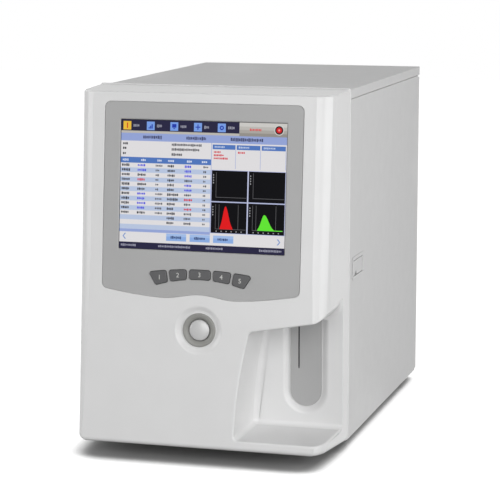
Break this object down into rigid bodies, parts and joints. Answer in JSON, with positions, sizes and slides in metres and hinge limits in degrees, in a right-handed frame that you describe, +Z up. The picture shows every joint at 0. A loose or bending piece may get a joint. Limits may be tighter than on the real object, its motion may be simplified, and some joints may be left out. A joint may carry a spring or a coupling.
{
  "type": "hematology analyzer",
  "caption": "Benchtop blood cell analyzer: leaning moulded front with wavy grey screen panel, arc of keys, round start button and open sample alcove, on a long sheet-metal cabinet.",
  "frame": {"origin": "middle of the footprint, on the bench under the feet", "axes": "+Z up, +Y to the rear, +X to the side with the sample alcove and the side door"},
  "size_m": [0.3274, 0.581, 0.4577],
  "materials": {
    "shell_white": "fine moulded texture, satin",
    "cover_white": "powder coat, satin",
    "panel_grey": "satin",
    "key_grey": "matt moulded keycap",
    "ring_grey": "satin",
    "cap_silver": "silver lacquer",
    "glass_dark": "touch glass over a lit screen",
    "display_case": "folded metal case",
    "steel": "bright steel",
    "zinc_sheet": "zinc plated sheet",
    "aluminium": "machined and anodised",
    "motor_black": "black coated motor case",
    "black_plastic": "moulded",
    "rubber": "matt",
    "acrylic": "clear polished",
    "natural_plastic": "natural moulded",
    "board_green": "coated circuit board",
    "silicone": "translucent hose"
  },
  "bodies": {
    "cabinet": {"alcove_plate": "panel_grey", "base_tray": "zinc_sheet", "bath_red": "acrylic", "bath_white": "acrylic", "bulkhead": "zinc_sheet", "data_ports": "steel", "display_bezel": "panel_grey", "display_glass": "glass_dark", "display_module": "display_case", "door_hinge_lower": "steel", "door_hinge_upper": "steel", "drain_tube_red": "silicone", "drain_tube_white": "silicone", "fan_frame": "black_plastic", "fan_guard": "steel", "fluid_ports": "natural_plastic", "foot_front_left": "rubber", "foot_front_right": "rubber", "foot_rear_left": "rubber", "foot_rear_right": "rubber", "front_board": "board_green", "front_fascia": "shell_white", "front_frame": "zinc_sheet", "left_panel": "cover_white", "liquid_pump": "black_plastic", "main_board": "board_green", "optical_module": "aluminium", "power_inlet": "black_plastic", "power_supply": "zinc_sheet", "probe_frame": "zinc_sheet", "probe_motor": "motor_black", "rear_panel": "cover_white", "rinse_block": "natural_plastic", "start_ring": "ring_grey", "syringe_barrel_1": "acrylic", "syringe_barrel_2": "acrylic", "syringe_frame": "aluminium", "syringe_motor_1": "motor_black", "syringe_motor_2": "motor_black", "top_cover": "cover_white", "vacuum_chamber": "natural_plastic", "valve_bank": "aluminium"},
    "probe_lift": {"probe_carriage": "aluminium", "sample_probe": "steel"},
    "side_door": {"service_door": "cover_white", "latch_cup": "cover_white"},
    "key_1": {"key_1": "key_grey"},
    "key_2": {"key_2": "key_grey"},
    "key_3": {"key_3": "key_grey"},
    "key_4": {"key_4": "key_grey"},
    "key_5": {"key_5": "key_grey"},
    "start_button": {"start_button": "cap_silver"},
    "probe_screw": {"probe_screw": "steel"},
    "syringe_plunger_1": {"syringe_plunger_1": "aluminium"},
    "syringe_plunger_2": {"syringe_plunger_2": "aluminium"},
    "syringe_screw_1": {"syringe_screw_1": "steel"},
    "syringe_screw_2": {"syringe_screw_2": "steel"},
    "latch_paddle": {"latch_paddle": "panel_grey"},
    "fan_rotor": {"fan_rotor": "black_plastic"},
    "power_rocker": {"power_rocker": "black_plastic"}
  },
  "joints": [
    {"name": "key_1_press", "type": "slide", "parent": "cabinet", "child": "key_1", "axis": [0, 0.996, -0.0889], "range_m": [0, 0.001], "stiffness_N_per_m": 800},
    {"name": "key_2_press", "type": "slide", "parent": "cabinet", "child": "key_2", "axis": [0, 0.996, -0.0889], "range_m": [0, 0.001], "stiffness_N_per_m": 800},
    {"name": "key_3_press", "type": "slide", "parent": "cabinet", "child": "key_3", "axis": [0, 0.996, -0.0889], "range_m": [0, 0.001], "stiffness_N_per_m": 800},
    {"name": "key_4_press", "type": "slide", "parent": "cabinet", "child": "key_4", "axis": [0, 0.996, -0.0889], "range_m": [0, 0.001], "stiffness_N_per_m": 800},
    {"name": "key_5_press", "type": "slide", "parent": "cabinet", "child": "key_5", "axis": [0, 0.996, -0.0889], "range_m": [0, 0.001], "stiffness_N_per_m": 800},
    {"name": "start_button_press", "type": "slide", "parent": "cabinet", "child": "start_button", "axis": [0, 0.996, -0.0889], "range_m": [0, 0.0025], "stiffness_N_per_m": 600},
    {"name": "probe_lift_slide", "type": "slide", "parent": "cabinet", "child": "probe_lift", "axis": [0, 0, 1], "range_m": [0, 0.062]},
    {"name": "probe_screw_turn", "type": "hinge", "parent": "cabinet", "child": "probe_screw", "pos_m": [0.104, -0.17655, 0.25], "axis": [0, 0, 1], "range_deg": [-5, 2240]},
    {"name": "syringe_1_slide", "type": "slide", "parent": "cabinet", "child": "syringe_plunger_1", "axis": [0, 0, 1], "range_m": [0, 0.04]},
    {"name": "syringe_1_screw_turn", "type": "hinge", "parent": "cabinet", "child": "syringe_screw_1", "pos_m": [0.0058, -0.09155, 0.115], "axis": [0, 0, 1], "range_deg": [-5, 1810]},
    {"name": "syringe_2_slide", "type": "slide", "parent": "cabinet", "child": "syringe_plunger_2", "axis": [0, 0, 1], "range_m": [0, 0.04]},
    {"name": "syringe_2_screw_turn", "type": "hinge", "parent": "cabinet", "child": "syringe_screw_2", "pos_m": [0.0058, -0.04155, 0.115], "axis": [0, 0, 1], "range_deg": [-5, 1810]},
    {"name": "side_door_swing", "type": "hinge", "parent": "cabinet", "child": "side_door", "pos_m": [0.1573, 0.26825, 0.2273], "axis": [0, 0, 1], "range_deg": [0, 110]},
    {"name": "latch_paddle_turn", "type": "hinge", "parent": "side_door", "child": "latch_paddle", "pos_m": [0.15925, -0.1142, 0.2349], "axis": [0, 1, 0], "range_deg": [0, 22], "stiffness_Nm_per_rad": 0.02},
    {"name": "fan_spin", "type": "hinge", "parent": "cabinet", "child": "fan_rotor", "pos_m": [-0.088, 0.259, 0.365], "axis": [0, 1, 0], "continuous": true},
    {"name": "power_rocker_tip", "type": "hinge", "parent": "cabinet", "child": "power_rocker", "pos_m": [-0.11, 0.27475, 0.089], "axis": [1, 0, 0], "range_deg": [0, 14]}
  ],
  "couplings": [
    {"joint": "probe_screw_turn", "follows": "probe_lift_slide", "rad_per_m": 628.32},
    {"joint": "syringe_1_screw_turn", "follows": "syringe_1_slide", "rad_per_m": 785.4},
    {"joint": "syringe_2_screw_turn", "follows": "syringe_2_slide", "rad_per_m": 785.4}
  ]
}
